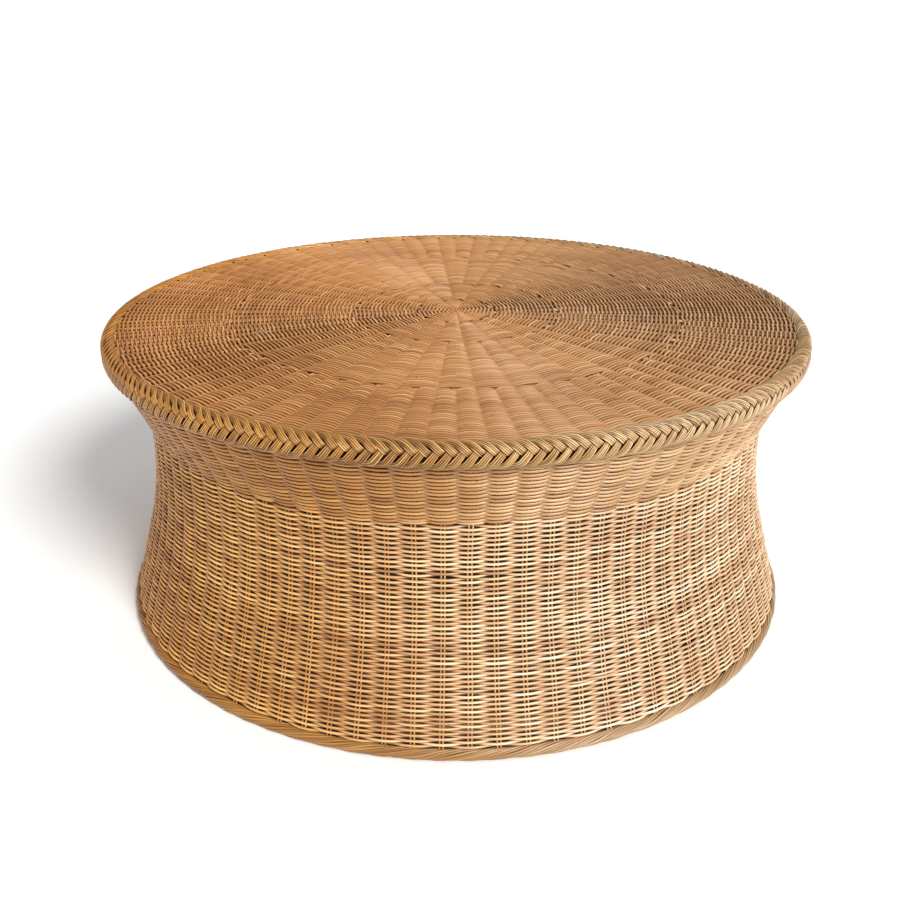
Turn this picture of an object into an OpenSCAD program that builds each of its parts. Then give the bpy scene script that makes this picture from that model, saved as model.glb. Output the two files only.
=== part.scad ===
// Round wicker coffee table: a woven top with a plaited rim on a waisted woven drum,
// over a frame of bent rattan poles.
// Millimetres, +Z up. The origin is on the floor, under the middle of the top. The front is -Y.

/* [Overall] */
// Diameter over the plaited rim
top_d = 1000; // [960:10:1040]
// Height of the woven top's upper face
top_h = 413; // [400:1:430]
// Height of the corner between the drum and the apron
corner_h = 295; // [290:1:305]

/* [Weave] */
// Number of columns of paired stakes round the drum, a multiple of eight
columns = 88; // [80:8:96]
// Diameter of a weaving cane
strand_d = 3; // [2.6:0.1:3.4]
// Thickness of a stake
stake_d = 2.3; // [2:0.1:2.5]
// Distance between the two stakes of a pair, centre to centre
pair_gap = 4.4; // [4:0.1:5]

/* [Drum outline] */
// Radius of the line of the stakes on the floor
foot_r = 494.6; // [485:0.1:500]
// Lean of the lower drum from upright, in degrees
lean = 15.5; // [14:0.1:16]
// Height where the straight lower drum starts to curve
straight_h = 120; // [110:1:130]
// Radius of the curve of the waist
waist_arc_r = 524; // [510:1:540]
// Radius of the line of the stakes under the rim
apron_top_r = 483.5; // [480:0.5:486]

/* [Borders] */
// Height of the plaited rim
rim_h = 32; // [28:1:34]
// Width of the plaited rim
rim_w = 23; // [20:1:24]
// How far the rim stands above the woven top
rim_rise = 2; // [1:0.5:3]
// Diameter of the foot border
border_d = 16; // [14:1:18]

/* [Pole frame] */
// Diameter of the frame's rattan poles
pole_d = 22; // [20:1:24]
// Diameter of the support hoop's pole
support_d = 18; // [16:1:20]
// Radius of the support hoop
support_r = 235; // [200:5:260]
// Depth of the notch where one pole sits on another
saddle = 2; // [1:0.5:3]
// Height of the waist hoop's centre
waist_hoop_h = 280; // [275:1:283]

/* [Hidden] */
$fn = 72;
SOLID_NODES = ["foot_border", "body_weave", "side_stakes", "apron_weave", "rim_braid", "top_weave",
    "centre_knot", "long_spokes", "first_added_spokes", "second_added_spokes", "base_hoop",
    "waist_hoop", "top_hoop", "support_hoop", "cross_bar_side_to_side", "cross_bar_front_to_back",
    "base_lashings", "waist_lashings", "top_lashings", "post_screws", "bearer_screws",
    "support_hoop_screws", "crossing_screw"];
post_count = 8;
diagonal_count = 4;

cane = "#cfa36a";
dark_cane = "#b98a52";
pole = "#d9b27c";
steel = "#9a9a98";

// Clearance between pieces that slide together
slack = 0.1;
slot_t = stake_d + 2 * slack;
skin_t = 2 * strand_d + slot_t;
pitch = 360 / columns;
pair_w = pair_gap + stake_d;
pocket_w = pair_w + 4 * slack;

// Key points of the stake line, as [radius, height]
out = [cos(lean), sin(lean)];
bend_start = [foot_r - straight_h * tan(lean), straight_h];
arc_centre = bend_start + waist_arc_r * out;
arc_steps = 5;
rim_base = top_h + rim_rise - rim_h;
corner_r = arc_r(corner_h);
apron_lean = -atan((apron_top_r - corner_r) / (rim_base - corner_h));
bend_heights = [for (i = [0:arc_steps]) straight_h + i * (corner_h - straight_h) / arc_steps];

// The foot border is a round ring with its underside cut flat
border_flat = 0.5;
border_top = border_d - border_flat;
border_mid = border_d / 2 - border_flat;
border_r = foot_r - border_mid * tan(lean);
foot_socket = border_top - 7;

// The rim is a ring of stadium section
rim_r = (top_d - rim_w) / 2;
rim_in = top_d / 2 - rim_w;
rim_top = top_h + rim_rise;
rim_socket = rim_base + 7;

// The top: the spokes lie in the middle of the weave
top_r = rim_in - 2 * slack;
top_mid = top_h - skin_t / 2;
top_under = top_h - skin_t;
knot_r = 26;
spoke_end = rim_in + 7;
split_r = [57, 148, 324];
split_band = 20;
bundle_gap = 2.7;
bundle_w = 3 * bundle_gap + stake_d + 4 * slack;
middle_count = columns / 2;
inner_count = columns / 4;
centre_count = columns / 8;

// The frame: each post is one even bow that crosses inside the three side hoops
hoop_gap = 5;
top_hoop_gap = 8.5;
hoop_inset = skin_t / 2 + hoop_gap + pole_d / 2;
lap = pole_d - saddle;
base_hoop_h = 28.5;
top_hoop_h = top_under - 28;
top_hoop_r = rim_in - top_hoop_gap - pole_d / 2;
base_hoop = [line_r(base_hoop_h) - hoop_inset / cos(lean), base_hoop_h];
waist_hoop = [line_r(waist_hoop_h) - hoop_inset, waist_hoop_h];
top_hoop = [top_hoop_r, top_hoop_h];
bow_centre = circle_centre(base_hoop, waist_hoop, top_hoop);
bow_r = norm(base_hoop - bow_centre) + lap;
hoops = [base_hoop, waist_hoop, top_hoop];
post_foot_h = 3;
post_head_h = top_under - 1;

// Bars and bearers lie level, straight under the woven top
bar_h = top_under - slack - pole_d / 2;
support_h = bar_h - pole_d / 2 - support_d / 2 + saddle;
bar_half = top_hoop_r + 6;

// Screws
screw_d = 4;
screw_head_d = 8;
screw_head_t = 2;
screw_sink = 3;
post_screw_l = 32;
bearer_screw_l = 34;
support_screw_l = 26;

// Lashings: two crossed bands of cane round each crossing
lash_t = 1.6;
lash_w = 5;
lash_in_l = lap + pole_d + 6 * slack;
lash_in_w = pole_d / sin(45) + lash_w + 6 * slack;
cross_angle = 45;

// The stake line: its radius and its lean from upright at a height
function arc_r(h) = arc_centre.x - sqrt(pow(waist_arc_r, 2) - pow(h - arc_centre.y, 2));
function line_r(h) =
    h < straight_h ? foot_r - h * tan(lean) :
    h <= corner_h ? arc_r(h) :
    corner_r - (h - corner_h) * tan(apron_lean);
function line_lean(h) =
    h < straight_h ? lean :
    h <= corner_h ? asin((arc_centre.y - h) / waist_arc_r) :
    apron_lean;

// The centre of the circle through three points
function square_of(p) = p.x * p.x + p.y * p.y;
function circle_centre(a, b, c) =
    let (d = 2 * (a.x * (b.y - c.y) + b.x * (c.y - a.y) + c.x * (a.y - b.y)))
    [square_of(a) * (b.y - c.y) + square_of(b) * (c.y - a.y) + square_of(c) * (a.y - b.y),
     square_of(a) * (c.x - b.x) + square_of(b) * (a.x - c.x) + square_of(c) * (b.x - a.x)] / d;

function column_angle(k) = -90 + (k + 0.5) * pitch;
function post_angle(i) = 22.5 + 45 * (i - 1);
function flat_offset(p, angle) = [p * cos(angle), p * sin(angle)];

// ---- Outlines in the radius-height plane ----

function edge_point(h, t) = [line_r(h) + t / cos(line_lean(h)), h];
function heights(low, high) = concat(low, [for (h = bend_heights) if (h > low && h < high) h], high);

// A strip of half thickness t along the stake line, between two heights
module strip(t, low, high) {
    steps = heights(low, high);
    last = len(steps) - 1;
    polygon(concat([for (h = steps) edge_point(h, t)],
                   [for (i = [0:last]) edge_point(steps[last - i], -t)]));
}

// A flat plate of width w, in the upright plane through the axis
module upright_plate(w) {
    rotate([90, 0, 0]) linear_extrude(w, center = true) children();
}

module at_column(k) {
    rotate([0, 0, column_angle(k)]) children();
}

// ---- The woven skin ----

module foot_border() {
    color(dark_cane) rotate_extrude($fn = 180) difference() {
        intersection() {
            translate([border_r, border_mid]) circle(d = border_d);
            translate([border_r - border_d, 0]) square(2 * border_d);
        }
        strip(slot_t / 2, foot_socket, border_top + 1);
    }
}

// The drum's skin, with a pocket for each pair of stakes
module body_weave() {
    color(cane) difference() {
        rotate_extrude($fn = 180) strip(skin_t / 2, border_top, corner_h);
        for (k = [0:columns - 1])
            at_column(k) upright_plate(pocket_w) strip(slot_t / 2, border_top - 1, corner_h + 1);
    }
}

module apron_weave() {
    color(cane) difference() {
        rotate_extrude($fn = 180) strip(skin_t / 2, corner_h, rim_base);
        for (k = [0:columns - 1])
            at_column(k) upright_plate(pocket_w) strip(slot_t / 2, corner_h - 1, rim_base + 1);
    }
}

// One stake: up the drum, round the corner and up the apron into the rim
module side_stake() {
    upright_plate(stake_d) strip(stake_d / 2, foot_socket + slack, rim_socket - slack);
}

module side_stakes() {
    color(dark_cane) for (k = [0:columns - 1], side = [-1, 1])
        at_column(k) translate([0, side * pair_gap / 2, 0]) side_stake();
}

module rim_braid() {
    low_centre = rim_base + rim_w / 2;
    high_centre = rim_top - rim_w / 2;
    color(cane) rotate_extrude($fn = 180) difference() {
        union() {
            translate([rim_r, low_centre]) circle(d = rim_w);
            translate([rim_r, high_centre]) circle(d = rim_w);
            translate([rim_in, low_centre]) square([rim_w, high_centre - low_centre]);
        }
        translate([rim_in - 1, top_mid - slot_t / 2]) square([spoke_end - rim_in + 1, slot_t]);
        strip(slot_t / 2, rim_base - 2, rim_socket);
    }
}

// ---- The woven top and its spokes ----

// Angle of bundle b in each zone, counted outwards: 0 centre, 1 inner, 2 middle, 3 outer
function bundle_angle(zone, b) =
    zone == 3 ? column_angle(b) :
    zone == 2 ? -90 + b * 2 * pitch :
    zone == 1 ? -90 + (b - 0.25) * 4 * pitch :
    -90 + (b - 0.375) * 8 * pitch;
function zone_count(zone) = [centre_count, inner_count, middle_count, columns][zone];
function zone_start(zone) = zone == 0 ? knot_r : split_r[zone - 1] + split_band;
function zone_end(zone) = zone == 3 ? spoke_end : split_r[zone];
function zone_pocket_w(zone) = zone == 3 ? pocket_w : bundle_w;

// Sideways place of a cane in its bundle: four side by side, or an outer pair
function cane_shift(zone, place) =
    zone == 3 ? (place - 0.5) * pair_gap : (place - 1.5) * bundle_gap;

module woven_disc() {
    translate([0, 0, top_under]) difference() {
        cylinder(h = skin_t, r = top_r, $fn = 180);
        translate([0, 0, -1]) cylinder(h = skin_t + 2, r = knot_r);
    }
}

module split_groove(r) {
    translate([0, 0, top_mid - slot_t / 2]) difference() {
        cylinder(h = slot_t, r = r + split_band + slack, $fn = 180);
        translate([0, 0, -1]) cylinder(h = slot_t + 2, r = r - slack, $fn = 180);
    }
}

module spoke_pocket(zone, b) {
    w = zone_pocket_w(zone);
    l = zone_end(zone) - zone_start(zone) + 2;
    rotate([0, 0, bundle_angle(zone, b)])
        translate([zone_start(zone) - 1, -w / 2, top_mid - slot_t / 2])
            cube([l, w, slot_t]);
}

module top_weave() {
    color(cane) difference() {
        woven_disc();
        for (r = split_r) split_groove(r);
        for (zone = [0:3], b = [0:zone_count(zone) - 1]) spoke_pocket(zone, b);
    }
}

// The bound middle, with a socket round its edge for the spokes' ends
module centre_knot() {
    socket = 8;
    color(dark_cane) translate([0, 0, top_under]) difference() {
        cylinder(h = skin_t, r = knot_r - slack);
        translate([0, 0, skin_t / 2 - slot_t / 2]) difference() {
            cylinder(h = slot_t, r = knot_r + 1);
            translate([0, 0, -1]) cylinder(h = slot_t + 2, r = knot_r - socket);
        }
    }
}

// A point on a cane at radius r, lying with shift s beside the bundle's middle line
function cane_point(r, zone, b, place) =
    flat_offset(r, bundle_angle(zone, b))
    + flat_offset(cane_shift(zone, place), bundle_angle(zone, b) + 90);

// Half a cane's width, square to the length from point i to the next
function cane_side(points, i) =
    let (along = points[i + 1] - points[i])
    stake_d / 2 * [-along.y, along.x] / norm(along);

// The same at point i itself, mitred where two lengths meet
function cane_edge(points, i) =
    i == 0 ? cane_side(points, 0) :
    i == len(points) - 1 ? cane_side(points, i - 1) :
    let (middle = cane_side(points, i - 1) + cane_side(points, i))
    middle * 2 * pow(stake_d / 2, 2) / square_of(middle);

// A cane of square section along a list of points in plan, one straight length after another
module flat_cane(points) {
    last = len(points) - 1;
    translate([0, 0, top_mid - stake_d / 2]) linear_extrude(stake_d)
        polygon(concat([for (i = [0:last]) points[i] + cane_edge(points, i)],
                       [for (i = [0:last]) points[last - i] - cane_edge(points, last - i)]));
}

// The bundle and place that a cane takes in the next zone out
function outer_bundle(b, place) = 2 * b - 1 + floor(place / 2);
function next_place(zone, place) = zone == 2 ? place % 2 : 1 + place % 2;

// The points of a cane from the start of a zone to the rim
function cane_route(zone, b, place, start) = concat(
    [cane_point(start, zone, b, place)],
    zone == 3 ? [cane_point(spoke_end - slack, 3, b, place)] :
    concat([cane_point(split_r[zone] + 1, zone, b, place)],
           cane_route(zone + 1, outer_bundle(b, place), next_place(zone, place),
                      split_r[zone] + split_band - 1)));

module long_spokes() {
    color(dark_cane) for (b = [0:centre_count - 1], place = [0:3])
        flat_cane(cane_route(0, b, place, knot_r - 4));
}

module first_added_spokes() {
    color(dark_cane) for (b = [0:inner_count - 1], place = [0, 3])
        flat_cane(cane_route(1, b, place, zone_start(1) + 1));
}

module second_added_spokes() {
    color(dark_cane) for (b = [0:middle_count - 1], place = [0, 3])
        flat_cane(cane_route(2, b, place, zone_start(2) + 1));
}

// ---- The pole frame ----

module ring(r, h, d) {
    translate([0, 0, h]) rotate_extrude($fn = 180) translate([r, 0]) circle(d = d, $fn = 48);
}

// Repeats at the eight ends of the bars and bearers
module at_bars() {
    for (i = [0:7]) rotate([0, 0, 45 * i]) children();
}

// A side hoop, a little fatter when it cuts a notch
module side_hoop(hoop, extra = 0) {
    ring(hoop.x, hoop.y, pole_d + extra);
}

// Puts things in the frame of a crossing: +X runs from the post's middle to the hoop's
module at_crossing(hoop) {
    toward = bow_centre - hoop;
    tilt = atan2(toward.y, toward.x);
    translate([bow_centre.x, 0, bow_centre.y]) rotate([0, -tilt, 0])
        translate([-bow_r, 0, 0]) children();
}

module along_x(l, d) {
    rotate([0, 90, 0]) cylinder(h = l, d = d, $fn = 32);
}

// The bore of a post screw, with a recess for its head
module post_screw_bore() {
    translate([-pole_d / 2 - 1, 0, 0]) {
        along_x(post_screw_l + screw_sink + 2, screw_d + 2 * slack);
        along_x(screw_sink + 1, screw_head_d + 4 * slack);
    }
}

module post_screw() {
    translate([screw_sink - pole_d / 2 - screw_head_t, 0, 0]) {
        along_x(screw_head_t, screw_head_d);
        along_x(post_screw_l, screw_d);
    }
}

module post_bores(hoop) {
    for (i = [1:post_count]) rotate([0, 0, post_angle(i)]) at_crossing(hoop) post_screw_bore();
}

module base_hoop() {
    color(pole) difference() {
        side_hoop(base_hoop);
        post_bores(base_hoop);
    }
}

module waist_hoop() {
    color(pole) difference() {
        side_hoop(waist_hoop);
        post_bores(waist_hoop);
    }
}

// Screws that point up through the top hoop into the ends of the bars and bearers
module bearer_screw(extra = 0) {
    upright_screw(top_hoop_r, top_hoop_h - pole_d / 2 + screw_sink - screw_head_t,
                  bearer_screw_l, extra);
}

module top_hoop() {
    color(pole) difference() {
        side_hoop(top_hoop);
        post_bores(top_hoop);
        at_bars() bearer_screw(slack);
    }
}

// A bent post, bowed inwards, with its ends cut level
module bent_pole() {
    sweep = 40;
    inner_x = 300;
    intersection() {
        translate([bow_centre.x, 0, bow_centre.y]) rotate([90, 0, 0]) rotate([0, 0, 180 - sweep])
            rotate_extrude(angle = 2 * sweep, $fn = 180)
                translate([bow_r, 0]) circle(d = pole_d, $fn = 48);
        translate([inner_x, -pole_d, post_foot_h])
            cube([top_d / 2 - inner_x, 2 * pole_d, post_head_h - post_foot_h]);
    }
}

module post(i) {
    color(pole) rotate([0, 0, post_angle(i)]) difference() {
        bent_pole();
        for (hoop = hoops) {
            side_hoop(hoop, 2 * slack);
            at_crossing(hoop) post_screw_bore();
        }
    }
}

// A level bar from x = start to over the top hoop, notched where it sits on the two hoops
module level_bar(start) {
    difference() {
        translate([start, 0, bar_h]) along_x(bar_half - start, pole_d);
        side_hoop(top_hoop, 2 * slack);
        ring(support_r, support_h, support_d + 2 * slack);
        bearer_screw(slack);
        support_screw(slack);
    }
}

// A cross bar, with half its thickness taken away where the other one crosses
module cross_bar(upper_half) {
    notch = pole_d + 2 * slack;
    difference() {
        union() {
            level_bar(0);
            rotate([0, 0, 180]) level_bar(0);
        }
        translate([-notch / 2, -notch / 2, bar_h - (upper_half ? slack : notch - slack)])
            cube([notch, notch, notch]);
        crossing_screw_shape(slack);
    }
}

module cross_bar_side_to_side() {
    color(pole) cross_bar(true);
}

module cross_bar_front_to_back() {
    color(pole) rotate([0, 0, 90]) cross_bar(false);
}

module diagonal_bearer(i) {
    color(pole) rotate([0, 0, 45 + 90 * (i - 1)]) level_bar(support_r - pole_d);
}

// A screw that points straight up, with its head at height h, or its bore when extra is not 0
module upright_screw(r, h, l, extra) {
    recess = extra > 0 ? screw_sink : 0;
    translate([r, 0, h]) {
        cylinder(h = l + extra, d = screw_d + 2 * extra, $fn = 32);
        translate([0, 0, -recess])
            cylinder(h = screw_head_t + recess, d = screw_head_d + 4 * extra, $fn = 32);
    }
}

module support_screw(extra = 0) {
    upright_screw(support_r, support_h - support_d / 2 + screw_sink - screw_head_t,
                  support_screw_l, extra);
}

module crossing_screw_shape(extra = 0) {
    upright_screw(0, bar_h - pole_d / 2 + screw_sink - screw_head_t, pole_d - screw_sink, extra);
}

module support_hoop() {
    color(pole) difference() {
        ring(support_r, support_h, support_d);
        at_bars() support_screw(slack);
    }
}

// ---- Fastenings ----

// A rectangle with round corners, centred on the origin
module rounded_rect(l, w, r) {
    square([l - 2 * r, w], center = true);
    square([l, w - 2 * r], center = true);
    for (x = [-1, 1], y = [-1, 1]) translate([x * (l / 2 - r), y * (w / 2 - r)]) circle(r);
}

module lash_band() {
    corner_r = 8;
    linear_extrude(lash_w, center = true) difference() {
        rounded_rect(lash_in_l + 2 * lash_t, lash_in_w + 2 * lash_t, corner_r + lash_t);
        rounded_rect(lash_in_l, lash_in_w, corner_r);
    }
}

module lashings(hoop) {
    color(dark_cane) for (i = [1:post_count]) rotate([0, 0, post_angle(i)]) at_crossing(hoop)
        translate([lap / 2, 0, 0]) {
            rotate([cross_angle, 0, 0]) lash_band();
            rotate([-cross_angle, 0, 0]) lash_band();
        }
}

module post_screws() {
    color(steel) for (hoop = hoops, i = [1:post_count])
        rotate([0, 0, post_angle(i)]) at_crossing(hoop) post_screw();
}

module bearer_screws() {
    color(steel) at_bars() bearer_screw();
}

module support_hoop_screws() {
    color(steel) at_bars() support_screw();
}

module crossing_screw() {
    color(steel) crossing_screw_shape();
}

foot_border();
body_weave();
side_stakes();
apron_weave();
rim_braid();
top_weave();
centre_knot();
long_spokes();
first_added_spokes();
second_added_spokes();
base_hoop();
waist_hoop();
top_hoop();
support_hoop();
cross_bar_side_to_side();
cross_bar_front_to_back();
lashings(base_hoop);  // base_lashings
lashings(waist_hoop);  // waist_lashings
lashings(top_hoop);  // top_lashings
post_screws();
bearer_screws();
support_hoop_screws();
crossing_screw();
for (i = [1:post_count])
    post(i);
for (i = [1:diagonal_count])
    diagonal_bearer(i);
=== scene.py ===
"""Round wicker coffee table: woven skins, plaited borders and a rattan pole frame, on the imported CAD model.

Everything is in metres, +Z up, front towards -Y. Angles round the table run from the front, towards +X.
"""
import math

import bpy
import numpy as np
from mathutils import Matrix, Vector


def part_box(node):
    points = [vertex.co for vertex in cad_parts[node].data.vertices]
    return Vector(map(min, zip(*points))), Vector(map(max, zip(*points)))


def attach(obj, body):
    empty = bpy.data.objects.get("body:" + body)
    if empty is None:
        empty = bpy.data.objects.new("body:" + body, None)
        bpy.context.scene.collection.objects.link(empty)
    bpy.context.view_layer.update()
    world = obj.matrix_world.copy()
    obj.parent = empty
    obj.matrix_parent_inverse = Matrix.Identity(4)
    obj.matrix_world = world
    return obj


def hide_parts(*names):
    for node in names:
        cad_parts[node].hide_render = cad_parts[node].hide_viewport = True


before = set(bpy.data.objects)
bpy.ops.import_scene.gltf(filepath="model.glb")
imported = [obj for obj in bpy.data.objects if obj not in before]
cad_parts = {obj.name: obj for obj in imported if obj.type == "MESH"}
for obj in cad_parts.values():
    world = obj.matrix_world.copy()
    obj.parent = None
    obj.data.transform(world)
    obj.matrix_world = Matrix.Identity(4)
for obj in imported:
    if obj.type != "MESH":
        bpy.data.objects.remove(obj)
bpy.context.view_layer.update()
rng = np.random.default_rng(88)

# ---- Sizes, from the frame and the cane ----

COLUMNS = 88
PITCH = 2 * math.pi / COLUMNS
STRAND_D = 0.0034
APRON_STRAND_D = 0.0041
APRON_WAVE = 0.0023
STAKE_D = 0.0023
PAIR_GAP = 0.0044
ROW_PITCH = 0.00313
WAVE = (0.003 + STAKE_D) / 2
TOP_WAVE = 0.00265
TOP_STRAND_R = 0.00180
RIM_TUCK = 0.0045
TOP_ROW_PITCH = 0.0030
SIDES = 6

TOP_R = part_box("rim_braid")[1].x
RIM_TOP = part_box("rim_braid")[1].z
RIM_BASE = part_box("rim_braid")[0].z
RIM_WIDTH = 0.023
TOP_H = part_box("top_weave")[1].z
TOP_MID = (TOP_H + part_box("top_weave")[0].z) / 2
WEAVE_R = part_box("top_weave")[1].x
CORNER_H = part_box("body_weave")[1].z
FOOT_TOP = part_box("foot_border")[1].z

# The line of the stakes: a straight lower drum, a curved waist, and the apron
FOOT_R = 0.4946
LEAN = math.radians(15.5)
STRAIGHT_H = 0.120
WAIST_ARC_R = 0.524
APRON_TOP_R = 0.4835
ARC_R0 = FOOT_R - STRAIGHT_H * math.tan(LEAN) + WAIST_ARC_R * math.cos(LEAN)
ARC_Z0 = STRAIGHT_H + WAIST_ARC_R * math.sin(LEAN)
CORNER_R = ARC_R0 - math.sqrt(WAIST_ARC_R**2 - (CORNER_H - ARC_Z0) ** 2)
APRON_LEAN = -math.atan((APRON_TOP_R - CORNER_R) / (RIM_BASE - CORNER_H))

# The top's ribs divide outwards: 11, 22, 44, 88
SPLITS = (0.057, 0.148, 0.324)
ZONE_COUNTS = (11, 22, 44, 88)
BUNDLE_GAP = 0.0027


# ---- Small helpers ----


def around(r, angle, z):
    """Points at radius r and an angle from the front."""
    return np.stack(np.broadcast_arrays(r * np.sin(angle), -r * np.cos(angle), z), -1)


def line_radius(z):
    """Radius of the stake line at height z."""
    straight = FOOT_R - z * math.tan(LEAN)
    arc = ARC_R0 - np.sqrt(WAIST_ARC_R**2 - (np.clip(z, 0, CORNER_H) - ARC_Z0) ** 2)
    apron = CORNER_R - (z - CORNER_H) * math.tan(APRON_LEAN)
    return np.where(z < STRAIGHT_H, straight, np.where(z <= CORNER_H, arc, apron))


def line_lean(z):
    """Lean of the stake line from upright at height z."""
    arc = np.arcsin((ARC_Z0 - np.clip(z, 0, CORNER_H)) / WAIST_ARC_R)
    return np.where(z < STRAIGHT_H, LEAN, np.where(z <= CORNER_H, arc, APRON_LEAN))


def smooth_noise(count, length, waves, periodic=True):
    """Rows of smooth random curves, each of about unit size: count rows by length samples."""
    t = np.arange(length) / length * 2 * math.pi * (1 if periodic else 0.83)
    k = np.arange(1, waves + 1)
    amp = rng.normal(size=(count, waves, 1)) / math.sqrt(waves)
    phase = rng.uniform(0, 2 * math.pi, (count, waves, 1))
    return (amp * np.cos(k[None, :, None] * t[None, None, :] + phase)).sum(1) * math.sqrt(2)


def plateau(x, flat):
    """A wave that is 1 on even whole x and -1 on odd, held over the share flat of each."""
    near = np.abs((x + 1) % 2 - 1)
    return np.cos(math.pi * np.clip((near - flat) / (1 - 2 * flat), 0, 1))


def tubes(paths, radius, up, closed, tone, deep=0.0):
    """Round canes along paths (n, m, 3), with sides facing up (n, m, 3).

    Gives vertices, quads, two UV maps, and each point's tone and how deep it lies in the weave, 0 to 1, which
    the cane materials paint as shade.
    """
    n, m, _ = paths.shape
    if closed:
        ahead = np.roll(paths, -1, 1) - np.roll(paths, 1, 1)
    else:
        ahead = np.gradient(paths, axis=1)
    ahead /= np.linalg.norm(ahead, axis=2, keepdims=True) + 1e-12
    across = np.cross(up, ahead)
    across /= np.linalg.norm(across, axis=2, keepdims=True) + 1e-12
    over = np.cross(ahead, across)
    turn = np.arange(SIDES) * 2 * math.pi / SIDES + math.pi / SIDES
    r = np.broadcast_to(np.asarray(radius, float), (n, m))[:, :, None, None]
    upwards, sideways = np.cos(turn)[None, None, :, None], np.sin(turn)[None, None, :, None]
    co = paths[:, :, None] + r * (upwards * over[:, :, None] + sideways * across[:, :, None])
    steps = m if closed else m - 1
    i, j, s = np.meshgrid(np.arange(n), np.arange(steps), np.arange(SIDES), indexing="ij")
    j2, s2 = (j + 1) % m, (s + 1) % SIDES

    def index(a, b, c):
        return (a * m + b) * SIDES + c

    faces = np.stack([index(i, j, s), index(i, j, s2), index(i, j2, s2), index(i, j2, s)], -1).reshape(-1, 4)
    length = np.concatenate(
        [np.zeros((n, 1)), np.cumsum(np.linalg.norm(np.diff(paths, axis=1), axis=2), 1)], 1
    )
    if closed:
        close = length[:, -1:] + np.linalg.norm(paths[:, :1] - paths[:, -1:], axis=2)
        length = np.concatenate([length, close], 1)
    along = np.stack([length[i, j], length[i, j], length[i, j + 1], length[i, j + 1]], -1)
    side = np.stack([s, s + 1, s + 1, s], -1) / SIDES
    share = along / length[:, -1][:, None, None, None]
    strip = (i[..., None] + 0.04 + 0.92 * side) / n
    bake_uv = np.stack([share, strip], -1).reshape(-1, 2)
    cane_uv = np.stack([along + 3.7 * i[..., None], side + i[..., None]], -1).reshape(-1, 2)
    if not closed:
        caps, cap_bake, cap_cane = [], [], []
        for j_end, order in ((0, (0, 3, 2, 1)), (m - 1, (0, 1, 2, 3))):
            for first in (0, 3):
                corners = [(first + o) % SIDES for o in order]
                caps.append(np.stack([index(np.arange(n), j_end, c) for c in corners], -1))
                u = np.full((n, 4), j_end / (m - 1) * 0.998 + 0.001)
                v = (np.arange(n)[:, None] + 0.04 + 0.92 * np.array(corners)[None, :] / SIDES) / n
                cap_bake.append(np.stack([u, v], -1).reshape(-1, 2))
                cane_u = length[:, min(j_end, m - 1)][:, None] + 3.7 * np.arange(n)[:, None]
                cane_v = np.array(corners)[None, :] / SIDES
                cap_cane.append(np.stack(np.broadcast_arrays(cane_u, cane_v), -1).reshape(-1, 2))
        faces = np.concatenate([faces] + caps)
        bake_uv = np.concatenate([bake_uv] + cap_bake)
        cane_uv = np.concatenate([cane_uv] + cap_cane)
    tones = np.repeat(np.broadcast_to(tone, (n, m)).reshape(-1), SIDES)
    depths = np.repeat(np.broadcast_to(deep, (n, m)).reshape(-1), SIDES)
    return co.reshape(-1, 3), faces, bake_uv, cane_uv, tones, depths


def piece(name, parts, nodes, material):
    """One object from several lots of tubes. Each lot takes its own band of the bake's UV map."""
    co, faces, bake, cane, tone, deep = [], [], [], [], [], []
    start, low = 0, 0.0
    total = sum(len(p[1]) for p in parts)
    for c, f, b, u, t, d in parts:
        band = len(f) / total
        co.append(c)
        faces.append(f + start)
        bake.append(b * [1, band] + [0, low])
        cane.append(u)
        tone.append(t)
        deep.append(d)
        start += len(c)
        low += band
    mesh = bpy.data.meshes.new(name)
    mesh.from_pydata(np.concatenate(co), [], np.concatenate(faces))
    mesh.polygons.foreach_set("use_smooth", np.ones(len(mesh.polygons), bool))
    for layer, values in (("Cane", cane), ("OFBake", bake)):
        coordinates = np.concatenate(values).astype(np.float32).ravel()
        mesh.uv_layers.new(name=layer).data.foreach_set("uv", coordinates)
    for layer, values in (("tone", tone), ("deep", deep)):
        values = np.concatenate(values).astype(np.float32)
        mesh.attributes.new(layer, "FLOAT", "POINT").data.foreach_set("value", values)
    mesh.materials.append(material)
    mesh.update()
    obj = bpy.data.objects.new(name, mesh)
    bpy.context.scene.collection.objects.link(obj)
    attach(obj, "root")
    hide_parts(*nodes)
    return obj


# ---- Materials ----


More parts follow.
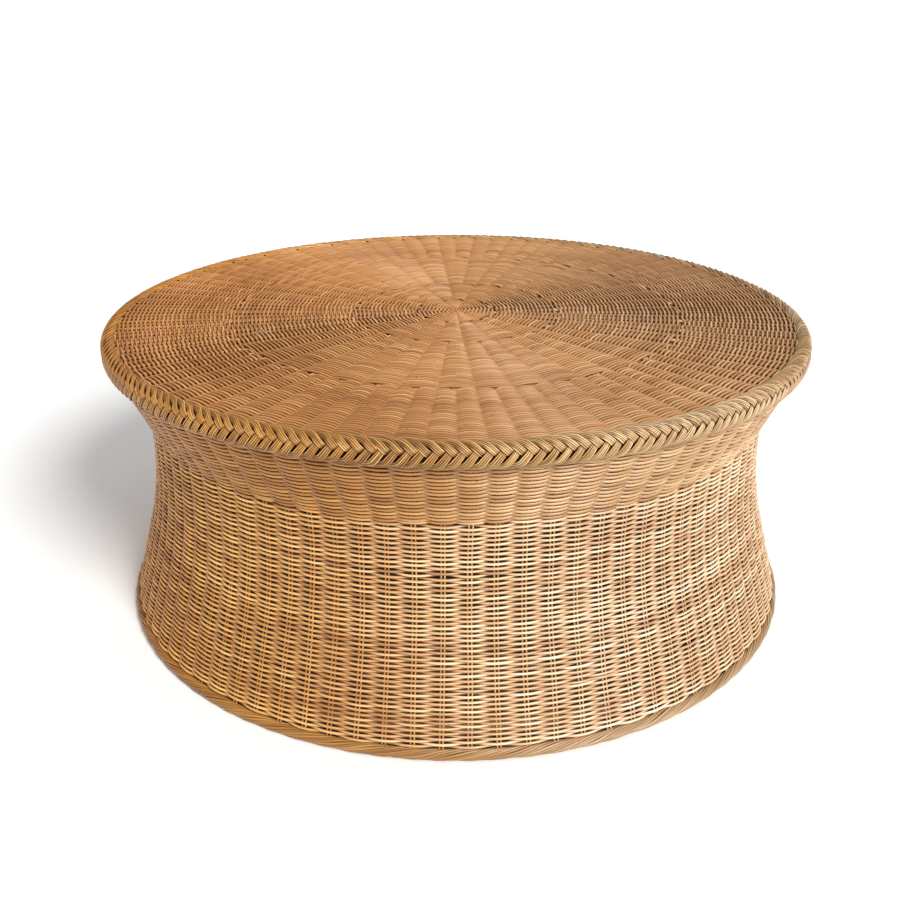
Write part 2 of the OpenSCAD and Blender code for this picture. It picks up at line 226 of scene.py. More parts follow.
class Nodes:
    """Short names for building one material's nodes."""

    def __init__(self, name):
        self.material = bpy.data.materials.new(name)
        self.material.use_nodes = True
        self.tree = self.material.node_tree
        self.shader = self.tree.nodes["Principled BSDF"]

    def add(self, kind, **values):
        node = self.tree.nodes.new(kind)
        for key, value in values.items():
            setattr(node, key, value)
        return node

    def link(self, source, target):
        self.tree.links.new(source, target)

    def scaled(self, vector, scale):
        node = self.add("ShaderNodeVectorMath", operation="MULTIPLY")
        self.link(vector, node.inputs[0])
        node.inputs[1].default_value = scale
        return node.outputs[0]

    def noise(self, vector, scale, detail=2.0, rough=0.5):
        node = self.add("ShaderNodeTexNoise")
        self.link(vector, node.inputs["Vector"])
        node.inputs["Scale"].default_value = scale
        node.inputs["Detail"].default_value = detail
        node.inputs["Roughness"].default_value = rough
        return node.outputs["Fac"]

    def maths(self, operation, a, b, clamp=False):
        node = self.add("ShaderNodeMath", operation=operation, use_clamp=clamp)
        for socket, value in zip(node.inputs, (a, b)):
            if isinstance(value, (int, float)):
                socket.default_value = value
            else:
                self.link(value, socket)
        return node.outputs[0]

    def span(self, value, low, high, to_low=0.0, to_high=1.0):
        node = self.add("ShaderNodeMapRange")
        self.link(value, node.inputs["Value"])
        for key, number in (("From Min", low), ("From Max", high), ("To Min", to_low), ("To Max", to_high)):
            node.inputs[key].default_value = number
        return node.outputs["Result"]

    def mix(self, share, a, b):
        node = self.add("ShaderNodeMix", data_type="RGBA")
        sockets = (node.inputs["Factor"], node.inputs[6], node.inputs[7])
        for socket, value in zip(sockets, (share, a, b)):
            if isinstance(value, (tuple, float)):
                socket.default_value = value
            else:
                self.link(value, socket)
        return node.outputs[2]

    def times(self, a, b):
        node = self.add("ShaderNodeMix", data_type="RGBA", blend_type="MULTIPLY")
        node.inputs["Factor"].default_value = 1.0
        self.link(a, node.inputs[6])
        self.link(b, node.inputs[7])
        return node.outputs[2]

    def ramp(self, value, stops):
        node = self.add("ShaderNodeValToRGB")
        elements = node.color_ramp.elements
        while len(elements) < len(stops):
            elements.new(0.5)
        for element, (place, colour) in zip(elements, stops):
            element.position = place
            element.color = (*colour, 1)
        self.link(value, node.inputs["Fac"])
        return node.outputs["Color"]


# Painted light: how the canes' colour changes across the table, as (x, tint): more golden where the left side is
# in shade, paler on the right where the key light and its sheen fall
SIDE_LIGHT_TINTS = (
    (-0.40, (1.0, 0.65, 0.17)),
    (-0.15, (1.0, 0.75, 0.33)),
    (0.0, (1.0, 0.84, 0.58)),
    (0.10, (1.0, 0.93, 0.80)),
    (0.25, (1.0, 1.0, 1.0)),
)
SIDE_LIGHT_SPAN = 0.5

# Painted shade down a cane's sides, where its neighbours shade it: the cosines of the angles from its top where
# that starts and ends, and how much it darkens
GROOVE_SHADE = (0.60, 0.0, 0.55)
PLAIT_GROOVE_SHADE = (0.90, 0.42, 0.82)


def cane_material(
    name,
    tones,
    roughness=0.40,
    spots=1.0,
    recess_shade=(0.2, 1.0, 0.75),
    groove_shade=GROOVE_SHADE,
    gloss=0.9,
    shift=0.0,
    side_light=1.0,
):
    """Peeled rattan cane: a tone for each cane, lengthwise grain, soft patches, flecks, and painted shade in its
    grooves and where it lies deep.

    tones are its dark, middle and light colours. recess_shade paints shade where it lies deep, groove_shade
    paints shade down its sides.
    side_light is how strongly SIDE_LIGHT_TINTS paints this light and shade across it, and shift moves their
    paler part towards the left.
    """
    dark, middle, light = tones
    k = Nodes(name)
    cane = k.add("ShaderNodeUVMap", uv_map="Cane").outputs["UV"]
    place = k.add("ShaderNodeTexCoord").outputs["Object"]
    tone = k.add("ShaderNodeAttribute", attribute_name="tone").outputs["Fac"]
    fibre = k.noise(k.scaled(cane, (26.0, 2.0, 1.0)), 1.0, 1.0, 0.5)
    streak = k.noise(k.scaled(cane, (5.0, 2.2, 1.0)), 1.0, 2.0)
    patch = k.noise(place, 5.0, 2.0)
    mixed = k.maths("ADD", tone, k.span(streak, 0.3, 0.7, -0.22, 0.22))
    mixed = k.maths("ADD", mixed, k.span(fibre, 0.3, 0.7, -0.06, 0.06))
    mixed = k.maths("ADD", mixed, k.span(patch, 0.3, 0.7, -0.16, 0.16), clamp=True)
    colour = k.ramp(mixed, ((0.0, dark), (0.5, middle), (1.0, light)))
    # Painted light and shade across the table: golden on the shaded left, paler under the key light's sheen on
    # the right
    across = k.add("ShaderNodeSeparateXYZ")
    k.link(place, across.inputs[0])
    stops = tuple(((x - shift) / (2 * SIDE_LIGHT_SPAN) + 0.5, tint) for x, tint in SIDE_LIGHT_TINTS)
    side_lit = k.times(colour, k.ramp(k.span(across.outputs["X"], -SIDE_LIGHT_SPAN, SIDE_LIGHT_SPAN), stops))
    colour = k.mix(side_light, colour, side_lit)
    deep = k.add("ShaderNodeAttribute", attribute_name="deep").outputs["Fac"]
    # Painted shade: the colour the cane darkens to where it lies deep and down its sides
    shade = (0.32 * dark[0], 0.28 * dark[1], 0.22 * dark[2], 1.0)
    colour = k.mix(k.span(deep, recess_shade[0], recess_shade[1], 0.0, recess_shade[2]), colour, shade)
    split = k.add("ShaderNodeSeparateXYZ")
    k.link(cane, split.inputs[0])
    around_cane = k.maths("ADD", k.maths("MULTIPLY", split.outputs["Y"], 2 * math.pi), math.pi / SIDES)
    outward = k.maths("COSINE", around_cane, 0.0)
    # Painted shade down the cane's sides, in the grooves between canes
    colour = k.mix(k.span(outward, groove_shade[0], groove_shade[1], 0.0, groove_shade[2]), colour, shade)
    stain = k.noise(k.scaled(cane, (16.0, 0.8, 1.0)), 1.0, 2.0)
    colour = k.mix(k.span(stain, 0.72, 0.80, 0.0, 0.45), colour, (0.16, 0.065, 0.02, 1.0))
    fleck = k.noise(k.scaled(cane, (210.0, 3.0, 1.0)), 1.0, 1.0)
    fleck = k.span(fleck, 0.70, 0.78, 0.0, 0.75 * spots)
    colour = k.mix(fleck, colour, (0.11, 0.045, 0.014, 1.0))
    k.link(colour, k.shader.inputs["Base Color"])
    k.link(k.span(fibre, 0.3, 0.7, roughness - 0.07, roughness + 0.09), k.shader.inputs["Roughness"])
    k.shader.inputs["Specular IOR Level"].default_value = gloss
    bump = k.add("ShaderNodeBump")
    bump.inputs["Strength"].default_value = 0.2
    bump.inputs["Distance"].default_value = 0.00004
    k.link(fibre, bump.inputs["Height"])
    k.link(bump.outputs["Normal"], k.shader.inputs["Normal"])
    return k.material


def pole_material(name):
    """Rattan pole: long grain, darker joint rings where its leaves grew, and scuffs."""
    k = Nodes(name)
    place = k.add("ShaderNodeTexCoord").outputs["Object"]
    grain = k.noise(k.scaled(place, (90.0, 90.0, 14.0)), 1.0, 3.0, 0.6)
    patch = k.noise(place, 9.0, 3.0)
    value = k.maths("ADD", k.span(grain, 0.3, 0.7, 0.2, 0.6), k.span(patch, 0.3, 0.7, -0.1, 0.3), clamp=True)
    stops = ((0.0, (0.20, 0.105, 0.042)), (0.5, (0.40, 0.24, 0.11)), (1.0, (0.58, 0.40, 0.21)))
    colour = k.ramp(value, stops)
    joint = k.add("ShaderNodeTexWave", wave_type="RINGS", rings_direction="SPHERICAL")
    k.link(place, joint.inputs["Vector"])
    joint.inputs["Scale"].default_value = 1.15
    joint.inputs["Distortion"].default_value = 0.4
    ring = k.span(joint.outputs["Fac"], 0.965, 0.995, 0.0, 0.7)
    colour = k.mix(ring, colour, (0.13, 0.065, 0.026, 1.0))
    k.link(colour, k.shader.inputs["Base Color"])
    k.link(k.span(grain, 0.3, 0.7, 0.38, 0.56), k.shader.inputs["Roughness"])
    bump = k.add("ShaderNodeBump")
    bump.inputs["Strength"].default_value = 0.4
    bump.inputs["Distance"].default_value = 0.0004
    k.link(grain, bump.inputs["Height"])
    k.link(bump.outputs["Normal"], k.shader.inputs["Normal"])
    return k.material


def steel_material(name):
    """Zinc-plated steel with fine turning marks."""
    k = Nodes(name)
    place = k.add("ShaderNodeTexCoord").outputs["Object"]
    marks = k.noise(k.scaled(place, (400.0, 400.0, 900.0)), 1.0, 2.0)
    colour = k.ramp(marks, ((0.3, (0.36, 0.36, 0.35)), (0.7, (0.60, 0.59, 0.56))))
    k.link(colour, k.shader.inputs["Base Color"])
    k.link(k.span(marks, 0.3, 0.7, 0.28, 0.46), k.shader.inputs["Roughness"])
    k.shader.inputs["Metallic"].default_value = 1.0
    return k.material


# Each cane's dark, middle and light colours
DRUM_TONES = ((0.38, 0.180, 0.072), (0.63, 0.400, 0.210), (0.88, 0.68, 0.48))
APRON_TONES = ((0.29, 0.133, 0.043), (0.44, 0.252, 0.103), (0.63, 0.435, 0.24))
TOP_TONES = ((0.30, 0.135, 0.045), (0.475, 0.240, 0.098), (0.66, 0.395, 0.200))
PLAIT_TONES = ((0.26, 0.135, 0.046), (0.47, 0.285, 0.120), (0.72, 0.52, 0.29))
FOOT_TONES = ((0.19, 0.100, 0.040), (0.34, 0.210, 0.105), (0.51, 0.38, 0.24))
STAKE_TONES = ((0.36, 0.18, 0.075), (0.58, 0.36, 0.18), (0.80, 0.56, 0.35))
# Near-black: painted shade for the filler canes under the plait
FILLER_SHADE_TONES = ((0.016, 0.007, 0.003), (0.030, 0.014, 0.006), (0.050, 0.025, 0.010))
LASH_TONES = ((0.20, 0.11, 0.045), (0.36, 0.22, 0.10), (0.52, 0.35, 0.18))

DRUM_CANE = cane_material("drum_cane", DRUM_TONES, shift=0.08)
APRON_CANE = cane_material("apron_cane", APRON_TONES, recess_shade=(0.2, 1.0, 0.60), groove_shade=(0.45, -0.05, 0.45))
TOP_CANE = cane_material(
    "top_cane", TOP_TONES, recess_shade=(0.15, 0.6, 0.18), groove_shade=(0.85, 0.35, 0.55), gloss=0.35, side_light=0.55
)
PLAIT_CANE = cane_material("plait_cane", PLAIT_TONES, groove_shade=PLAIT_GROOVE_SHADE, gloss=0.6)
FOOT_CANE = cane_material("foot_cane", FOOT_TONES, groove_shade=(0.6, 0.0, 0.35), gloss=0.6)
STAKE_CANE = cane_material("stake_cane", STAKE_TONES, 0.5, 0.5)
FILLER_SHADE_CANE = cane_material("filler_shade_cane", FILLER_SHADE_TONES, 0.8, 0.3, gloss=0.1)
LASH_CANE = cane_material("lash_cane", LASH_TONES, 0.4, 0.5)
POLE = pole_material("rattan_pole")
STEEL = steel_material("screw_steel")


# ---- The side: drum and apron ----


def row_heights():
    """Heights of the rows' middles up the drum, then up the apron, evenly spaced along the stake line."""
    drum_z = np.linspace(FOOT_TOP, CORNER_H, 800)
    drum_s = np.concatenate([[0], np.cumsum(np.diff(drum_z) / np.cos(line_lean(drum_z[1:])))])
    drum_rows = round(drum_s[-1] / ROW_PITCH)
    drum = np.interp((np.arange(drum_rows) + 0.5) * drum_s[-1] / drum_rows, drum_s, drum_z)
    apron_length = (RIM_BASE - CORNER_H) / math.cos(APRON_LEAN)
    apron_rows = round(apron_length / ROW_PITCH)
    apron = CORNER_H + (np.arange(apron_rows) + 0.5) * (RIM_BASE - CORNER_H) / apron_rows
    return drum, apron


DRUM_ROWS, APRON_ROWS = row_heights()
PER_COLUMN = 6
SIDE_SAMPLES = COLUMNS * PER_COLUMN
SWAY = smooth_noise(6, SIDE_SAMPLES, 30) * 0.0009


def sway(z, angle):
    """How far the stakes stray sideways, as an angle, at height z."""
    level = np.clip(z / RIM_TOP, 0, 0.999) * 5
    low = np.floor(level).astype(int)
    part = level - low
    at = (angle / (2 * math.pi) * SIDE_SAMPLES).astype(int) % SIDE_SAMPLES
    return (SWAY[low, at] * (1 - part) + SWAY[low + 1, at] * part) / 0.46


def side_rows(heights, first, diameter, wave):
    """Rows of plain weave round the drum or apron. first is the lowest row's number, which sets its turn."""
    n = len(heights)
    angle = np.arange(SIDE_SAMPLES) / SIDE_SAMPLES * 2 * math.pi
    z = heights[:, None] + np.zeros_like(angle)[None]
    number = first + np.arange(n)
    drift = smooth_noise(6, SIDE_SAMPLES, 16) * 0.0007
    level = number / 9.0 % 5
    low = np.floor(level).astype(int)
    shared = drift[low] * (1 - (level - low))[:, None] + drift[low + 1] * (level - low)[:, None]
    z = z + shared + smooth_noise(n, SIDE_SAMPLES, 40) * 0.00016
    lean = line_lean(heights)[:, None]
    weave = plateau(angle[None] / PITCH - 0.5 + number[:, None], 0.09)
    lift = wave * weave * rng.uniform(0.92, 1.05, (n, 1)) + smooth_noise(n, SIDE_SAMPLES, 30) * 0.00012
    r = line_radius(z) + lift * np.cos(lean)
    z = z + lift * np.sin(lean)
    turn = angle[None] + sway(z, np.broadcast_to(angle[None], z.shape))
    paths = around(r, turn, z)
    up = around(np.cos(lean), turn, np.broadcast_to(np.sin(lean), turn.shape))
    tone = 0.5 + rng.normal(size=(n, 1)) * 0.13 + smooth_noise(n, SIDE_SAMPLES, 9) * 0.10
    radius = diameter / 2 * (1 + rng.normal(size=(n, 1)) * 0.035 + smooth_noise(n, SIDE_SAMPLES, 20) * 0.02)
    # Where a row dives under or behind the stakes, it gets painted shade through its depth
    return tubes(paths, radius, up, True, tone, (1 - weave) / 2)


def build_side():
    bands = 4
    edges = np.linspace(0, len(DRUM_ROWS), bands + 1).astype(int)
    for b in range(bands):
        rows = DRUM_ROWS[edges[b] : edges[b + 1]]
        band = [side_rows(rows, edges[b], STRAND_D, WAVE)]
        piece(f"body_weave_band_{b + 1}", band, ["body_weave"], DRUM_CANE)
    apron = [side_rows(APRON_ROWS, len(DRUM_ROWS), APRON_STRAND_D, APRON_WAVE)]
    piece("apron_weave_rows", apron, ["apron_weave"], APRON_CANE)


def build_side_stakes():
    """Pairs of thin canes from the foot border, up the drum, round the corner and into the rim."""
    low, high = FOOT_TOP - 0.006, RIM_BASE + 0.006
    z = np.sort(np.concatenate([np.linspace(low, high, 44), [CORNER_H - 0.0015, CORNER_H + 0.0015]]))
    column = (np.arange(COLUMNS) + 0.5) * PITCH
    side = np.array([-1, 1]) * PAIR_GAP / 2
    angle = np.repeat(column, 2)[:, None]
    shift = np.tile(side, COLUMNS)[:, None] * rng.uniform(0.9, 1.12, (2 * COLUMNS, 1))
    r = np.broadcast_to(line_radius(z)[None], (2 * COLUMNS, len(z)))
    heights = np.broadcast_to(z, r.shape)
    turn = angle + sway(heights, np.broadcast_to(angle, r.shape)) + shift / r
    paths = around(r, turn, heights)
    lean = line_lean(z)[None]
    up = around(np.cos(lean), turn, np.broadcast_to(np.sin(lean), turn.shape))
    tone = 0.5 + rng.normal(size=(2 * COLUMNS, 1)) * 0.16
    # The stakes get a little painted shade all along through their depth
    parts = [tubes(paths, STAKE_D / 2, up, False, tone, 0.25)]
    piece("side_stake_pairs", parts, ["side_stakes"], STAKE_CANE)


# ---- The top ----


def zone_centre(zone):
    """Angle of the first bundle of spokes in a zone."""
    return (-0.375 * 8 * PITCH, -0.25 * 4 * PITCH, 0.0, 0.5 * PITCH)[zone]


def zone_pitch(zone):
    return 2 * math.pi / ZONE_COUNTS[zone]


def spread(zone, angle, row_number):
    """How far a row bows outwards where the bundles of the zone inside divide, leaving a small gap."""
    step = zone_pitch(zone - 1)
    off = (angle - zone_centre(zone - 1) + step / 2) % step - step / 2
    arc = off * SPLITS[zone - 1]
    fade = np.clip(1 - row_number / 4.0, 0, 1)
    return 0.0025 * fade * np.exp(-((arc / 0.0032) ** 2))


def top_rows(zone, per_bundle, inner, outer, first=0, last=None):
    """Rings of plain weave in a zone of the top with an even number of bundles."""
    count = round((outer - inner) / TOP_ROW_PITCH)
    last = count if last is None else last
    number = np.arange(first, last)
    n = len(number)
    samples = ZONE_COUNTS[zone] * per_bundle
    angle = np.arange(samples) / samples * 2 * math.pi
    r = inner + (number[:, None] + 0.5) * (outer - inner) / count
    r = r + spread(zone, angle[None], number[:, None]) + smooth_noise(n, samples, 24) * 0.00014
    half = (0.0030 if zone < 3 else 0.0012) / (r * zone_pitch(zone))
    phase = (angle[None] - zone_centre(zone)) / zone_pitch(zone)
    weave = plateau(phase + number[:, None], np.clip(half, 0, 0.3))
    z = TOP_MID + TOP_WAVE * weave * rng.uniform(0.93, 1.03, (n, 1))
    paths = around(r, angle[None], z)
    up = np.zeros_like(paths)
    up[..., 2] = 1
    tone = 0.5 + rng.normal(size=(n, 1)) * 0.11 + smooth_noise(n, samples, 9) * 0.09
    radius = TOP_STRAND_R * (1 + rng.normal(size=(n, 1)) * 0.03)
    # Where a row dives under the spokes, it gets painted shade through its depth
    return tubes(paths, np.broadcast_to(radius, (n, samples)), up, True, tone, (1 - weave) / 2)


def centre_spiral():
    """One cane wound from the middle outwards, over and under the eleven inner bundles."""
    turns = 18.0
    per_turn = 11 * 8
    t = np.arange(int(turns * per_turn)) / per_turn
    r = 0.0032 + (SPLITS[0] - 0.0032 - 0.0015) * t / turns
    angle = t * 2 * math.pi
    phase = (angle - zone_centre(0)) / zone_pitch(0)
    fade = np.clip((r - 0.004) / 0.012, 0, 1)
    z = TOP_MID + WAVE * plateau(phase, 0.16) * (0.35 + 0.65 * fade)
    paths = around(r, angle, z)[None]
    up = np.zeros_like(paths)
    up[..., 2] = 1
    tone = 0.5 + smooth_noise(1, len(t), 25, False) * 0.12
    return tubes(paths, TOP_STRAND_R, up, False, tone)


def cane_shift(zone, place):
    return (place - 0.5) * PAIR_GAP if zone == 3 else (place - 1.5) * BUNDLE_GAP


def spoke_route(zone, bundle, place, start):
    """Corners of a spoke from the start of a zone to the rim, as (radius, angle)."""
    points = []
    radius = start
    while True:
        angle = zone_centre(zone) + bundle * zone_pitch(zone)
        shift = cane_shift(zone, place)
        end = WEAVE_R + 0.008 if zone == 3 else SPLITS[zone] + 0.0005
        for r in (radius, end):
            points.append((r, angle + shift / r))
        if zone == 3:
            return points
        bundle = 2 * bundle - 1 + place // 2
        place = place % 2 if zone == 2 else 1 + place % 2
        radius = SPLITS[zone] + 0.013
        zone += 1


def spokes(routes):
    """Thin canes along routes of (radius, angle) corners, all with the same number of corners."""
    corners = np.array(routes)
    steps = 7
    pieces = []
    for a in range(corners.shape[1] - 1):
        t = np.linspace(0, 1, steps, endpoint=False)[None, :, None]
        pieces.append(corners[:, a : a + 1] * (1 - t) + corners[:, a + 1 : a + 2] * t)
    pieces.append(corners[:, -1:])
    line = np.concatenate(pieces, 1)
    z = TOP_MID + rng.normal(size=line.shape[:2]) * 0.00005
    paths = around(line[..., 0], line[..., 1], z)
    up = np.zeros_like(paths)
    up[..., 2] = 1
    tone = 0.45 + rng.normal(size=(len(line), 1)) * 0.15
    # The spokes get a little painted shade all along through their depth
    return tubes(paths, STAKE_D / 2 + 0.0001, up, False, tone, 0.3)


def build_top():
    gap = 0.0008
    weave = ["top_weave"]
    outer = (3, 6, SPLITS[2] + gap, WEAVE_R + RIM_TUCK)
    rows = round((outer[3] - outer[2]) / TOP_ROW_PITCH)
    half = rows // 2
    piece("top_weave_outer_a", [top_rows(*outer, 0, half)], weave, TOP_CANE)
    piece("top_weave_outer_b", [top_rows(*outer, half, rows)], weave, TOP_CANE)
    middle = (2, 8, SPLITS[1] + gap, SPLITS[2])
    rows = round((middle[3] - middle[2]) / TOP_ROW_PITCH)
    half = rows // 2
    piece("top_weave_middle_a", [top_rows(*middle, 0, half)], weave, TOP_CANE)
    piece("top_weave_middle_b", [top_rows(*middle, half, rows)], weave, TOP_CANE)
    inner = [top_rows(1, 10, SPLITS[0] + gap, SPLITS[1]), centre_spiral()]
    piece("top_weave_inner", inner, ["top_weave", "centre_knot"], TOP_CANE)
    lots = (
        ("long_spoke_canes", "long_spokes", 0, 11, (0, 1, 2, 3), 0.018),
        ("first_added_canes", "first_added_spokes", 1, 22, (0, 3), SPLITS[0] + 0.006),
        ("second_added_canes", "second_added_spokes", 2, 44, (0, 3), SPLITS[1] + 0.006),
    )
    for name, node, zone, count, places, start in lots:
        routes = [spoke_route(zone, b, p, start) for b in range(count) for p in places]
        piece(name, [spokes(routes)], [node], STAKE_CANE)


# ---- The plaited rim ----

BRAID_COUNT = 220
RIM_R = TOP_R - RIM_WIDTH / 2
RIM_MID = (RIM_TOP + RIM_BASE) / 2 - 0.0003
RIM_ROUND = RIM_WIDTH / 2
RIM_STRAIGHT = (RIM_TOP - RIM_BASE) / 2 - RIM_ROUND + 0.0007
REED_D = 0.00232
REED_STEP = 0.00227


def rim_point(along, up, level):
    """A point along the rim and up its outside from mid-height; level 1 is on top, 0 a reed's depth below."""
    depth = REED_D / 2 + (1 - level) * REED_D
    bend = np.clip(np.abs(up) - RIM_STRAIGHT, 0, None) / RIM_ROUND
    straight = np.clip(up, -RIM_STRAIGHT, RIM_STRAIGHT)
    out = np.cos(bend)
    rise = np.sign(up) * np.sin(bend)
    size = RIM_ROUND - depth
    turn = along / TOP_R
    place = around(RIM_R + out * size, turn, RIM_MID + straight + rise * size)
    return place, around(out, turn, rise)


def ease(t):
    t = np.clip(t, 0, 1)
    return t * t * (3 - 2 * t)


# Where a bundle's middle line starts and ends, up the rim from mid-height, and where its straight stretch starts
UPPER_START, UPPER_END, UPPER_TIP = 0.0310, 0.0040, 0.0048
LOWER_START, LOWER_END, LOWER_TIP = 0.0058, -0.0250, 0.0034
LOWER_SHIFT = 0.0063
REED_BEND = 0.0085


def reed_run(upper, u):
    """A bundle of reeds' middle line: its place along and up the rim, its overlap and its reeds' spacing."""
    if upper:
        up = UPPER_START + (UPPER_END - UPPER_START) * u
        from_end = up - UPPER_TIP
        along = bent_run(from_end, 0.0, 1.0, 0.0130, 165.0)
        overlap = ease((from_end - 0.006) / 0.007)
        spacing = np.full_like(u, REED_STEP)
    else:
        up = LOWER_START + (LOWER_END - LOWER_START) * u
        from_end = LOWER_TIP - up
        along = bent_run(from_end, LOWER_SHIFT, 0.78, 0.0120, 170.0)
        overlap = ease((from_end - 0.010) / 0.008)
        spacing = REED_STEP * (0.93 + 0.17 * ease((from_end + 0.002) / 0.014))
    return along, up, overlap, spacing


def bent_run(from_end, start, slope, straight, steep):
    """Place along the rim of a run that is straight at first, then bends to lie flatter."""
    bend = np.clip(from_end - straight, 0, REED_BEND)
    rest = np.clip(from_end - straight - REED_BEND, 0, None)
    return start - slope * from_end - steep * bend**2 - 2 * steep * REED_BEND * rest


def braid_half(upper):
    """Bundles of four reeds, from one edge of the rim to its middle, each tucked under its neighbour."""
    m = 18
    t = np.linspace(0, 1, m)[None]
    u = t**1.5 if upper else 1 - (1 - t) ** 1.5
    k = np.repeat(np.arange(BRAID_COUNT), 4)
    j = np.tile(np.arange(4), BRAID_COUNT)[:, None]
    step = 2 * math.pi * TOP_R / BRAID_COUNT
    along, up, overlap, spacing = reed_run(upper, u)
    slope = np.gradient(along[0]) / np.gradient(up[0])
    length = np.sqrt(1 + slope**2)
    side = 1 if upper else -1
    across = np.stack([1 / length, side * np.abs(slope) / length])
    offset = (j - 1.5) * spacing * (1 + 0.05 * rng.normal(size=(len(k), 1)))
    wander = rng.normal(size=(BRAID_COUNT, 2)) * (0.00035, 0.0003)
    along = along + offset * across[0] + k[:, None] * step + wander[k, :1]
    up = up + offset * across[1] + wander[k, 1:]
    level = 1 - overlap * (3 - j) / 3 - 0.08 * np.abs(j - 1.5) * (1 - overlap)
    if upper:
        level = level - 0.95 * ease((u - 0.90) / 0.10)
    else:
        level = level - 0.9 * ease((0.14 - u) / 0.14)
    paths, normal = rim_point(along, up, level + rng.normal(size=(len(k), 1)) * 0.05)
    tone = 0.5 + rng.normal(size=(len(k), 1)) * 0.18 + smooth_noise(len(k), m, 2) * 0.06
    radius = REED_D / 2 * (1 + rng.normal(size=(len(k), 1)) * 0.04)
    # Reeds tucked under their neighbour get painted shade through their depth
    return tubes(paths, np.broadcast_to(radius, (len(k), m)), normal, False, tone, np.clip(1 - level, 0, 1))


def build_rim():
    piece("rim_braid_upper", [braid_half(True)], ["rim_braid"], PLAIT_CANE)
    piece("rim_braid_lower", [braid_half(False)], ["rim_braid"], PLAIT_CANE)
    samples = 264
    canes = 14
    turn = np.arange(samples)[None] / samples * 2 * math.pi
    section = (np.arange(canes)[:, None] + 0.5) / canes * 2 * math.pi
    inset = 0.0066
    r = RIM_R + np.cos(section) * (RIM_ROUND - inset)
    z = RIM_MID + np.sin(section) * (RIM_ROUND + RIM_STRAIGHT - inset) + np.zeros_like(turn)
    paths = around(r, turn, z)
    up = paths - around(RIM_R, turn, RIM_MID)
    # The near-black filler canes under the plait are painted shade, seen through the gaps between its bundles
    parts = [tubes(paths, 0.0024, up, True, 0.4 + rng.normal(size=(canes, 1)) * 0.1)]
    piece("rim_filler_canes", parts, ["rim_braid"], FILLER_SHADE_CANE)


# ---- The foot border ----


def build_foot():
    """A rope of four plies, each of three canes side by side, that the table stands on."""
    low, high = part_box("foot_border")
    mid_z = (high.z - low.z) / 2
    mid_r = high.x - mid_z
    plies, canes = 4, 3
    turns = 21
    samples = turns * 30
    angle = np.arange(samples)[None] / samples * 2 * math.pi
    ply = np.repeat(np.arange(plies), canes)[:, None]
    cane = np.tile(np.arange(canes), plies)[:, None] - 1
    uneven = smooth_noise(plies, samples, 40)[ply[:, 0]] * 0.10
    lay = ply * 2 * math.pi / plies + turns * angle + smooth_noise(1, samples, 9) * 0.25 + uneven
    cane_gap, cane_r, droop = 0.0025, 0.0017, 0.0012
    ply_r = mid_z - cane_r - 0.0001
    swell = 1 + smooth_noise(plies, samples, 60)[ply[:, 0]] * 0.03 - 0.02
    out = ply_r - droop * np.abs(cane)
    x = swell * (out * np.cos(lay) - cane * cane_gap * np.sin(lay))
    z = swell * (out * np.sin(lay) + cane * cane_gap * np.cos(lay))
    z = np.maximum(z, cane_r - mid_z + 0.0001)
    paths = around(mid_r + x, angle, mid_z + z)
    up = np.stack([x * np.sin(angle), -x * np.cos(angle), z], -1)
    tone = 0.5 + rng.normal(size=(plies * canes, 1)) * 0.10 + smooth_noise(plies * canes, samples, 30) * 0.08
    core = around(mid_r, angle, mid_z)
    core_up = np.zeros_like(core)
    core_up[..., 2] = 1
    # The core inside the rope gets a dark tone and painted shade through its depth, for the shade between the
    # plies
    parts = [tubes(paths, cane_r, up, True, tone), tubes(core, 0.0048, core_up, True, 0.1, 0.6)]
    piece("foot_border_rope", parts, ["foot_border"], FOOT_CANE)


# ---- The frame, the lashings and the screws ----


def paint_frame():
    for name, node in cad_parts.items():
        material = STEEL if "screw" in name else LASH_CANE if "lashing" in name else POLE
        node.data.materials.clear()
        node.data.materials.append(material)


# ---- Floor, light and camera ----

WORLD_FALLOFF = 1.6
WORLD_STRENGTH = 0.35
WORLD_BASE = 0.38
WORLD_BELOW = 0.015
FLOOR_HALF = 200.0
FLOOR_HOLE = 0.480


def floor_mesh():
    """A wide square round a hole that the table covers, so that its inside stays dark behind the weave."""
    mesh = bpy.data.meshes.new("floor")
    count = 64
    turn = np.arange(count) * 2 * math.pi / count
    inner = np.stack([np.cos(turn), np.sin(turn)], -1)
    outer = inner / np.abs(inner).max(1, keepdims=True) * FLOOR_HALF
    flat = np.concatenate([inner * FLOOR_HOLE, outer])
    points = np.concatenate([flat, np.zeros((2 * count, 1))], 1)
    i = np.arange(count)
    faces = np.stack([i, i + count, (i + 1) % count + count, (i + 1) % count], -1)
    mesh.from_pydata(points, [], faces)
    return mesh


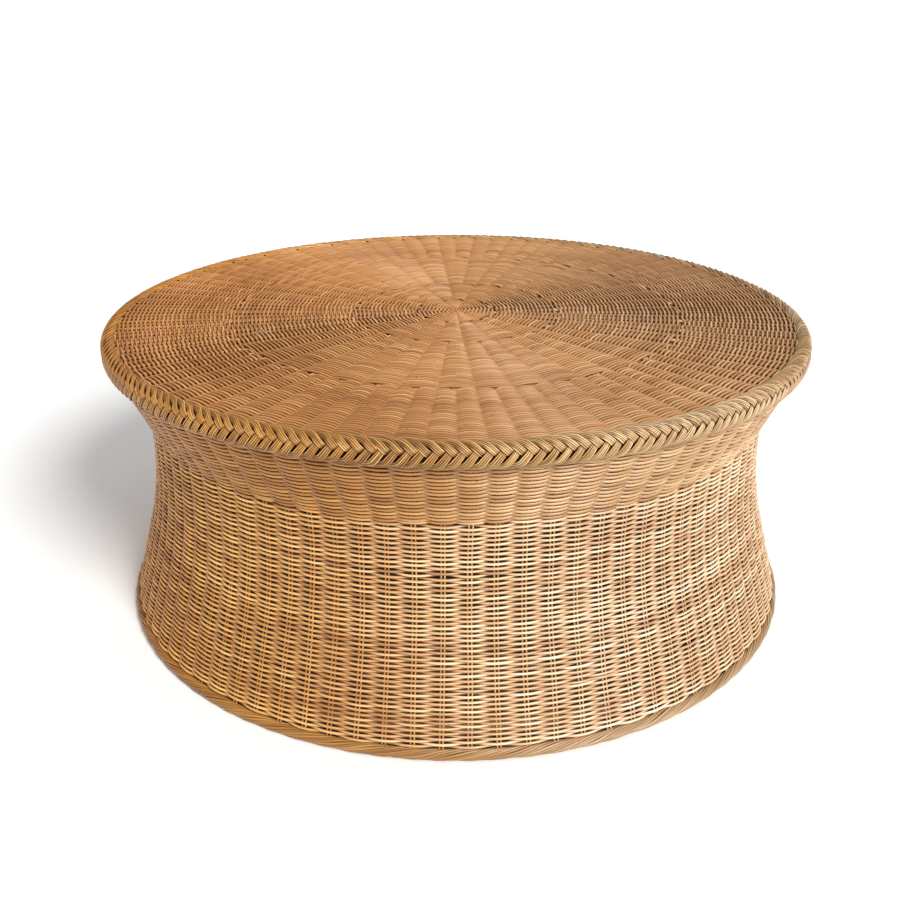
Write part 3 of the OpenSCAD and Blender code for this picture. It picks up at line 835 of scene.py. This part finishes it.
def build_stage():
    """A plain pale floor, and a soft glow all round above it that is strongest overhead."""
    mesh = floor_mesh()
    floor = bpy.data.objects.new("floor", mesh)
    bpy.context.scene.collection.objects.link(floor)
    material = bpy.data.materials.new("pale_floor")
    material.use_nodes = True
    shader = material.node_tree.nodes["Principled BSDF"]
    shader.inputs["Base Color"].default_value = (0.9, 0.9, 0.9, 1)
    shader.inputs["Roughness"].default_value = 0.9
    shader.inputs["Specular IOR Level"].default_value = 0.1
    mesh.materials.append(material)
    world = bpy.data.worlds.new("studio")
    world.use_nodes = True
    tree = world.node_tree
    direction = tree.nodes.new("ShaderNodeTexCoord")
    split = tree.nodes.new("ShaderNodeSeparateXYZ")
    tree.links.new(direction.outputs["Generated"], split.inputs[0])
    upward = tree.nodes.new("ShaderNodeMath")
    upward.operation = "MAXIMUM"
    upward.inputs[1].default_value = 0.0
    tree.links.new(split.outputs["Z"], upward.inputs[0])
    falloff = tree.nodes.new("ShaderNodeMath")
    falloff.operation = "POWER"
    falloff.inputs[1].default_value = WORLD_FALLOFF
    tree.links.new(upward.outputs[0], falloff.inputs[0])
    strength = tree.nodes.new("ShaderNodeMath")
    strength.operation = "MULTIPLY"
    strength.inputs[1].default_value = WORLD_STRENGTH
    tree.links.new(falloff.outputs[0], strength.inputs[0])
    base = tree.nodes.new("ShaderNodeMapRange")
    for socket, value in zip(base.inputs[1:5], (-0.02, 0.0, WORLD_BELOW, WORLD_BASE)):
        socket.default_value = value
    tree.links.new(split.outputs["Z"], base.inputs[0])
    total = tree.nodes.new("ShaderNodeMath")
    total.operation = "ADD"
    tree.links.new(strength.outputs[0], total.inputs[0])
    tree.links.new(base.outputs[0], total.inputs[1])
    background = tree.nodes["Background"]
    background.inputs["Color"].default_value = (1, 1, 1, 1)
    tree.links.new(total.outputs[0], background.inputs["Strength"])
    bpy.context.scene.world = world


def soft_sun(name, place, strength, spread, colour):
    """A wide soft light from far away, shining from a place towards the middle."""
    light = bpy.data.lights.new(name, "SUN")
    light.energy = strength
    light.angle = math.radians(spread)
    light.color = colour
    obj = bpy.data.objects.new(name, light)
    bpy.context.scene.collection.objects.link(obj)
    aim(obj, place, (0, 0, 0))


def aim(obj, place, target):
    """Puts a lamp or camera at a place, looking at a target."""
    obj.location = place
    obj.rotation_euler = (Vector(target) - Vector(place)).to_track_quat("-Z", "Y").to_euler()


def build_camera():
    camera = bpy.data.cameras.new("camera")
    camera.sensor_width = 36.0
    camera.lens = 41.83
    camera.shift_x = -0.005
    obj = bpy.data.objects.new("camera", camera)
    bpy.context.scene.collection.objects.link(obj)
    obj.location = (0.0, -1.4903, TOP_H + 0.436)
    obj.rotation_euler = (math.radians(90 - 24.03), 0, 0)
    bpy.context.scene.camera = obj


build_camera()
build_stage()
soft_sun("key_right", (1.6, -2.2, 1.9), 4.0, 20, (1.0, 0.985, 0.96))
bpy.context.scene.view_settings.view_transform = "Standard"

build_side()
build_side_stakes()
build_top()
build_rim()
build_foot()
paint_frame()
